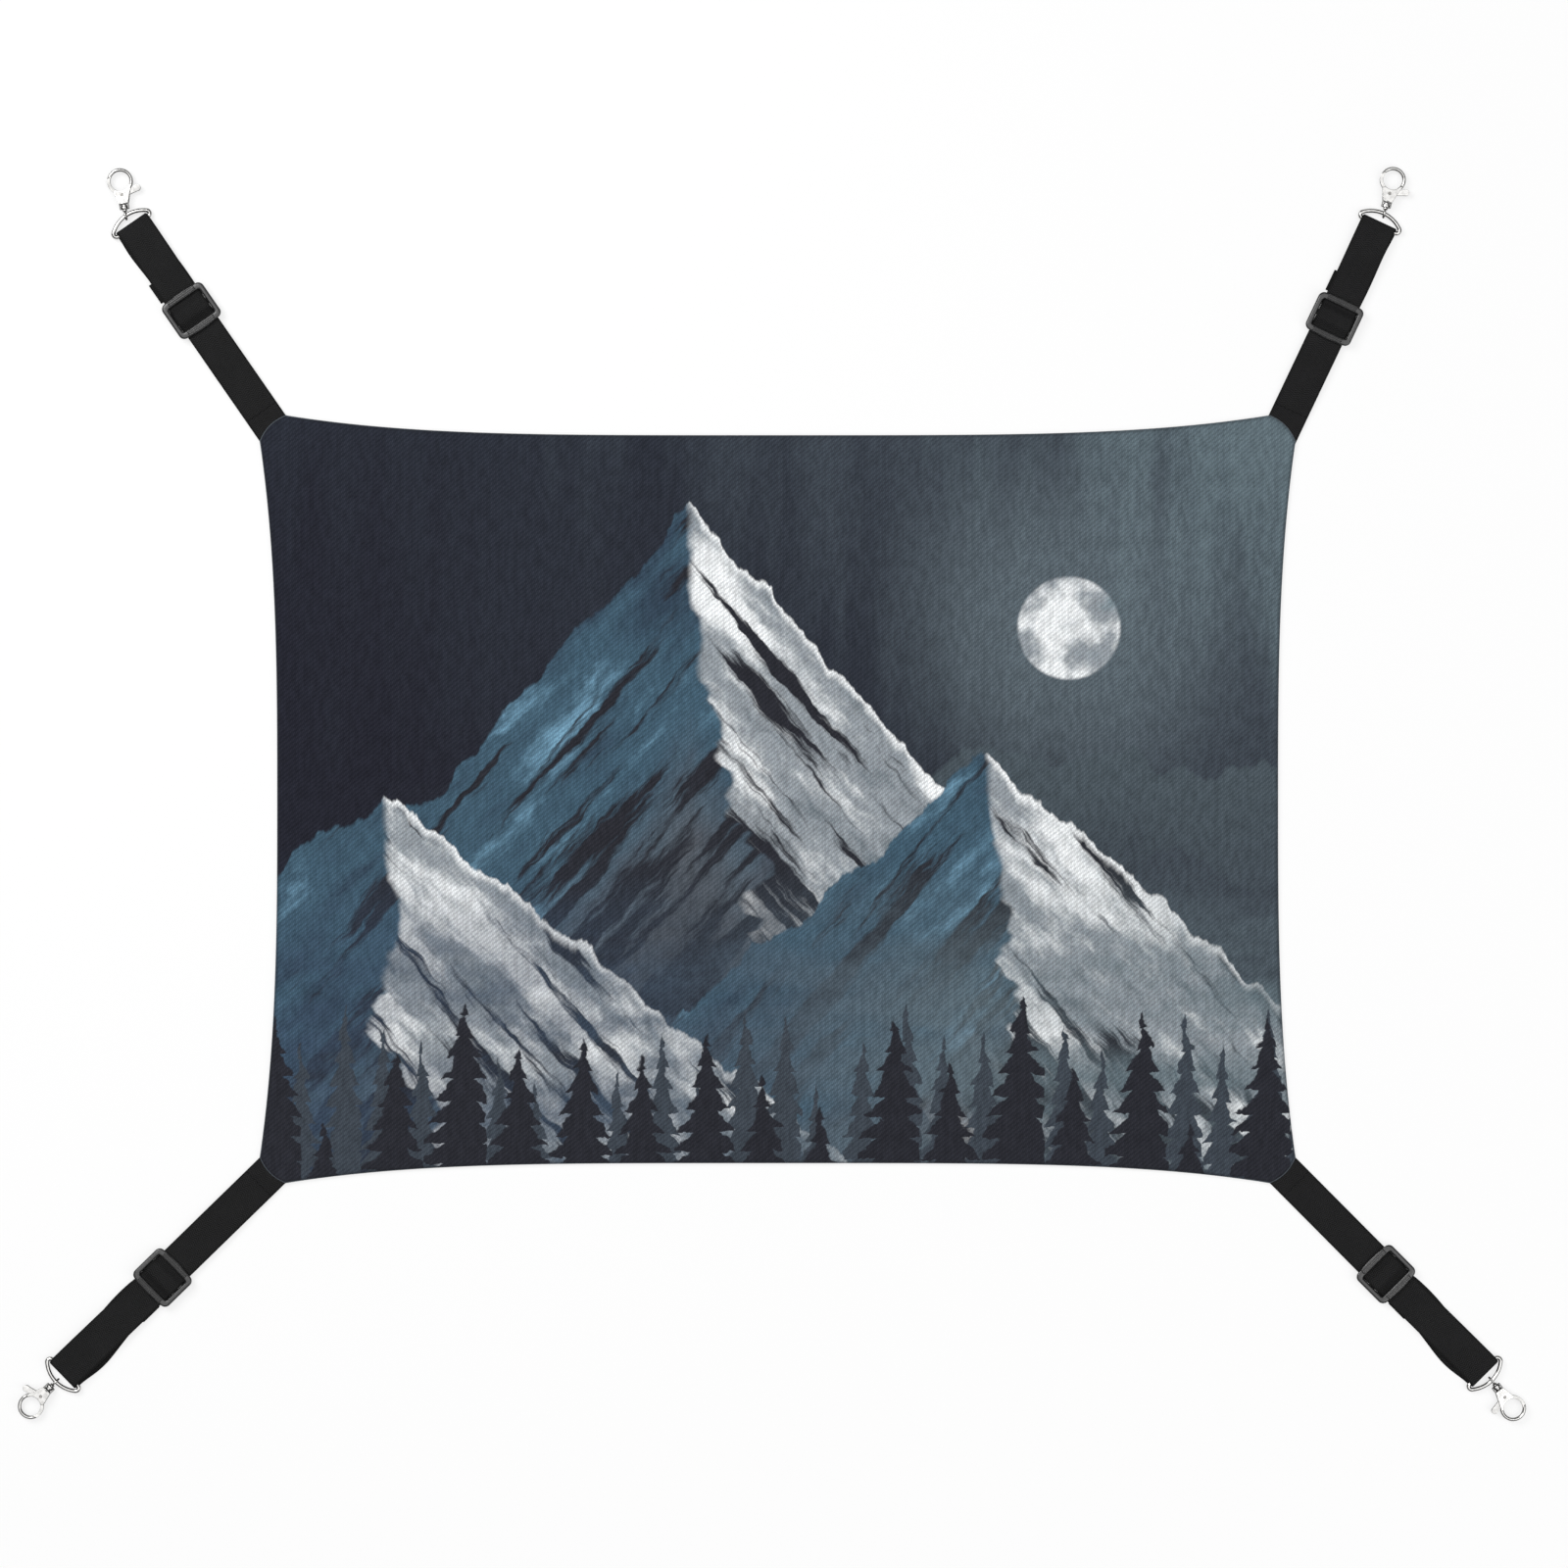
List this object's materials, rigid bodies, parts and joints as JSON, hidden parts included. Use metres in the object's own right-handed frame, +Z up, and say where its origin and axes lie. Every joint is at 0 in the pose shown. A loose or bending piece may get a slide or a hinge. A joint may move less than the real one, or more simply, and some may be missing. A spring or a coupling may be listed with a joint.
{
  "type": "cat hammock",
  "caption": "Flat two-layer fabric mat with an adjustable webbing strap at each corner, ending in a D-ring and a swivel clasp, for hanging from a cage or frame.",
  "frame": {"origin": "middle of the mat's underside", "axes": "+X along the mat's width, to the right in the picture; +Y along its depth, to the back; +Z up"},
  "size_m": [0.8282, 0.6887, 0.0065],
  "materials": {
    "face_fabric": "printed canvas",
    "back_fabric": "plain woven",
    "webbing": "ribbed webbing",
    "slider_plastic": "satin",
    "nickel": "polished nickel",
    "pin_steel": "satin",
    "spring_steel": "drawn wire"
  },
  "bodies": {
    "mat": {"mat_top": "face_fabric", "mat_back": "back_fabric", "strap_tab_back_left": "webbing", "strap_tab_back_right": "webbing", "strap_tab_front_left": "webbing", "strap_tab_front_right": "webbing"},
    "strap_back_left": {"strap_run_back_left": "webbing"},
    "slider_back_left": {"slider_back_left": "slider_plastic", "strap_wrap_back_left": "webbing"},
    "loop_back_left": {"strap_loop_back_left": "webbing"},
    "ring_back_left": {"d_ring_back_left": "nickel"},
    "eye_back_left": {"swivel_eye_back_left": "nickel"},
    "clasp_back_left": {"clasp_body_back_left": "nickel", "trigger_pin_back_left": "pin_steel", "trigger_spring_back_left": "spring_steel"},
    "trigger_back_left": {"trigger_back_left": "nickel"},
    "strap_back_right": {"strap_run_back_right": "webbing"},
    "slider_back_right": {"slider_back_right": "slider_plastic", "strap_wrap_back_right": "webbing"},
    "loop_back_right": {"strap_loop_back_right": "webbing"},
    "ring_back_right": {"d_ring_back_right": "nickel"},
    "eye_back_right": {"swivel_eye_back_right": "nickel"},
    "clasp_back_right": {"clasp_body_back_right": "nickel", "trigger_pin_back_right": "pin_steel", "trigger_spring_back_right": "spring_steel"},
    "trigger_back_right": {"trigger_back_right": "nickel"},
    "strap_front_left": {"strap_run_front_left": "webbing"},
    "slider_front_left": {"slider_front_left": "slider_plastic", "strap_wrap_front_left": "webbing"},
    "loop_front_left": {"strap_loop_front_left": "webbing"},
    "ring_front_left": {"d_ring_front_left": "nickel"},
    "eye_front_left": {"swivel_eye_front_left": "nickel"},
    "clasp_front_left": {"clasp_body_front_left": "nickel", "trigger_pin_front_left": "pin_steel", "trigger_spring_front_left": "spring_steel"},
    "trigger_front_left": {"trigger_front_left": "nickel"},
    "strap_front_right": {"strap_run_front_right": "webbing"},
    "slider_front_right": {"slider_front_right": "slider_plastic", "strap_wrap_front_right": "webbing"},
    "loop_front_right": {"strap_loop_front_right": "webbing"},
    "ring_front_right": {"d_ring_front_right": "nickel"},
    "eye_front_right": {"swivel_eye_front_right": "nickel"},
    "clasp_front_right": {"clasp_body_front_right": "nickel", "trigger_pin_front_right": "pin_steel", "trigger_spring_front_right": "spring_steel"},
    "trigger_front_right": {"trigger_front_right": "nickel"}
  },
  "joints": [
    {"name": "strap_lift_back_left", "type": "hinge", "parent": "mat", "child": "strap_back_left", "pos_m": [-0.28007, 0.20761, 0.0014], "axis": [0.8231, 0.5678, 0], "range_deg": [0, 90]},
    {"name": "slider_slide_back_left", "type": "slide", "parent": "strap_back_left", "child": "slider_back_left", "axis": [-0.5678, 0.8231, 0], "range_m": [-0.03, 0.05], "deforming": ["strap_run_back_left"]},
    {"name": "loop_slide_back_left", "type": "slide", "parent": "slider_back_left", "child": "loop_back_left", "axis": [-0.5678, 0.8231, 0], "range_m": [-0.025, 0.015], "deforming": ["strap_loop_back_left"]},
    {"name": "ring_tilt_back_left", "type": "hinge", "parent": "loop_back_left", "child": "ring_back_left", "pos_m": [-0.35389, 0.31462, 0.0024], "axis": [0.8231, 0.5678, 0], "range_deg": [0, 100]},
    {"name": "eye_swing_back_left", "type": "hinge", "parent": "ring_back_left", "child": "eye_back_left", "pos_m": [-0.35797, 0.32055, 0.0029], "axis": [0, 0, 1], "range_deg": [-7, 57]},
    {"name": "clasp_swivel_back_left", "type": "hinge", "parent": "eye_back_left", "child": "clasp_back_left", "pos_m": [-0.35799, 0.32065, 0.0029], "axis": [-0.1668, 0.986, 0], "continuous": true},
    {"name": "trigger_press_back_left", "type": "hinge", "parent": "clasp_back_left", "child": "trigger_back_left", "pos_m": [-0.35986, 0.33169, 0.0029], "axis": [0, 0, -1], "range_deg": [0, 24], "stiffness_Nm_per_rad": 0.03, "springref_deg": -28.65},
    {"name": "strap_lift_back_right", "type": "hinge", "parent": "mat", "child": "strap_back_right", "pos_m": [0.27943, 0.20798, 0.0014], "axis": [0.9041, -0.4274, 0], "range_deg": [0, 90]},
    {"name": "slider_slide_back_right", "type": "slide", "parent": "strap_back_right", "child": "slider_back_right", "axis": [0.4274, 0.9041, 0], "range_m": [-0.03, 0.05], "deforming": ["strap_run_back_right"]},
    {"name": "loop_slide_back_right", "type": "slide", "parent": "slider_back_right", "child": "loop_back_right", "axis": [0.4274, 0.9041, 0], "range_m": [-0.025, 0.015], "deforming": ["strap_loop_back_right"]},
    {"name": "ring_tilt_back_right", "type": "hinge", "parent": "loop_back_right", "child": "ring_back_right", "pos_m": [0.33008, 0.31511, 0.0024], "axis": [0.9041, -0.4274, 0], "range_deg": [0, 100]},
    {"name": "eye_swing_back_right", "type": "hinge", "parent": "ring_back_right", "child": "eye_back_right", "pos_m": [0.33315, 0.32162, 0.0029], "axis": [0, 0, 1], "range_deg": [-43, 21]},
    {"name": "clasp_swivel_back_right", "type": "hinge", "parent": "eye_back_right", "child": "clasp_back_right", "pos_m": [0.33318, 0.32172, 0.0029], "axis": [0.247, 0.969, 0], "continuous": true},
    {"name": "trigger_press_back_right", "type": "hinge", "parent": "clasp_back_right", "child": "trigger_back_right", "pos_m": [0.33594, 0.33257, 0.0029], "axis": [0, 0, -1], "range_deg": [0, 24], "stiffness_Nm_per_rad": 0.03, "springref_deg": -28.65},
    {"name": "strap_lift_front_left", "type": "hinge", "parent": "mat", "child": "strap_front_left", "pos_m": [-0.28073, -0.20705, 0.0014], "axis": [-0.6984, 0.7157, 0], "range_deg": [0, 90]},
    {"name": "slider_slide_front_left", "type": "slide", "parent": "strap_front_left", "child": "slider_front_left", "axis": [-0.7157, -0.6984, 0], "range_m": [-0.03, 0.05], "deforming": ["strap_run_front_left"]},
    {"name": "loop_slide_front_left", "type": "slide", "parent": "slider_front_left", "child": "loop_front_left", "axis": [-0.7157, -0.6984, 0], "range_m": [-0.025, 0.015], "deforming": ["strap_loop_front_left"]},
    {"name": "ring_tilt_front_left", "type": "hinge", "parent": "loop_front_left", "child": "ring_front_left", "pos_m": [-0.39131, -0.31496, 0.0024], "axis": [-0.6984, 0.7157, 0], "range_deg": [0, 100]},
    {"name": "eye_swing_front_left", "type": "hinge", "parent": "ring_front_left", "child": "eye_front_left", "pos_m": [-0.39646, -0.31999, 0.0029], "axis": [0, 0, 1], "range_deg": [-32, 32]},
    {"name": "clasp_swivel_front_left", "type": "hinge", "parent": "eye_front_left", "child": "clasp_front_left", "pos_m": [-0.39653, -0.32006, 0.0029], "axis": [-0.7157, -0.6984, 0], "continuous": true},
    {"name": "trigger_press_front_left", "type": "hinge", "parent": "clasp_front_left", "child": "trigger_front_left", "pos_m": [-0.40455, -0.32788, 0.0029], "axis": [0, 0, -1], "range_deg": [0, 24], "stiffness_Nm_per_rad": 0.03, "springref_deg": -28.65},
    {"name": "strap_lift_front_right", "type": "hinge", "parent": "mat", "child": "strap_front_right", "pos_m": [0.28068, -0.2071, 0.0014], "axis": [-0.7096, -0.7046, 0], "range_deg": [0, 90]},
    {"name": "slider_slide_front_right", "type": "slide", "parent": "strap_front_right", "child": "slider_front_right", "axis": [0.7046, -0.7096, 0], "range_m": [-0.03, 0.05], "deforming": ["strap_run_front_right"]},
    {"name": "loop_slide_front_right", "type": "slide", "parent": "slider_front_right", "child": "loop_front_right", "axis": [0.7046, -0.7096, 0], "range_m": [-0.025, 0.015], "deforming": ["strap_loop_front_right"]},
    {"name": "ring_tilt_front_right", "type": "hinge", "parent": "loop_front_right", "child": "ring_front_right", "pos_m": [0.38708, -0.31425, 0.0024], "axis": [-0.7096, -0.7046, 0], "range_deg": [0, 100]},
    {"name": "eye_swing_front_right", "type": "hinge", "parent": "ring_front_right", "child": "eye_front_right", "pos_m": [0.39215, -0.31936, 0.0029], "axis": [0, 0, 1], "range_deg": [-25, 39]},
    {"name": "clasp_swivel_front_right", "type": "hinge", "parent": "eye_front_right", "child": "clasp_front_right", "pos_m": [0.39222, -0.31944, 0.0029], "axis": [0.6129, -0.7902, 0], "continuous": true},
    {"name": "trigger_press_front_right", "type": "hinge", "parent": "clasp_front_right", "child": "trigger_front_right", "pos_m": [0.39908, -0.32829, 0.0029], "axis": [0, 0, -1], "range_deg": [0, 24], "stiffness_Nm_per_rad": 0.03, "springref_deg": -28.65}
  ],
  "couplings": [
    {"joint": "loop_slide_back_left", "follows": "slider_slide_back_left", "ratio": -0.5},
    {"joint": "loop_slide_back_right", "follows": "slider_slide_back_right", "ratio": -0.5},
    {"joint": "loop_slide_front_left", "follows": "slider_slide_front_left", "ratio": -0.5},
    {"joint": "loop_slide_front_right", "follows": "slider_slide_front_right", "ratio": -0.5}
  ]
}
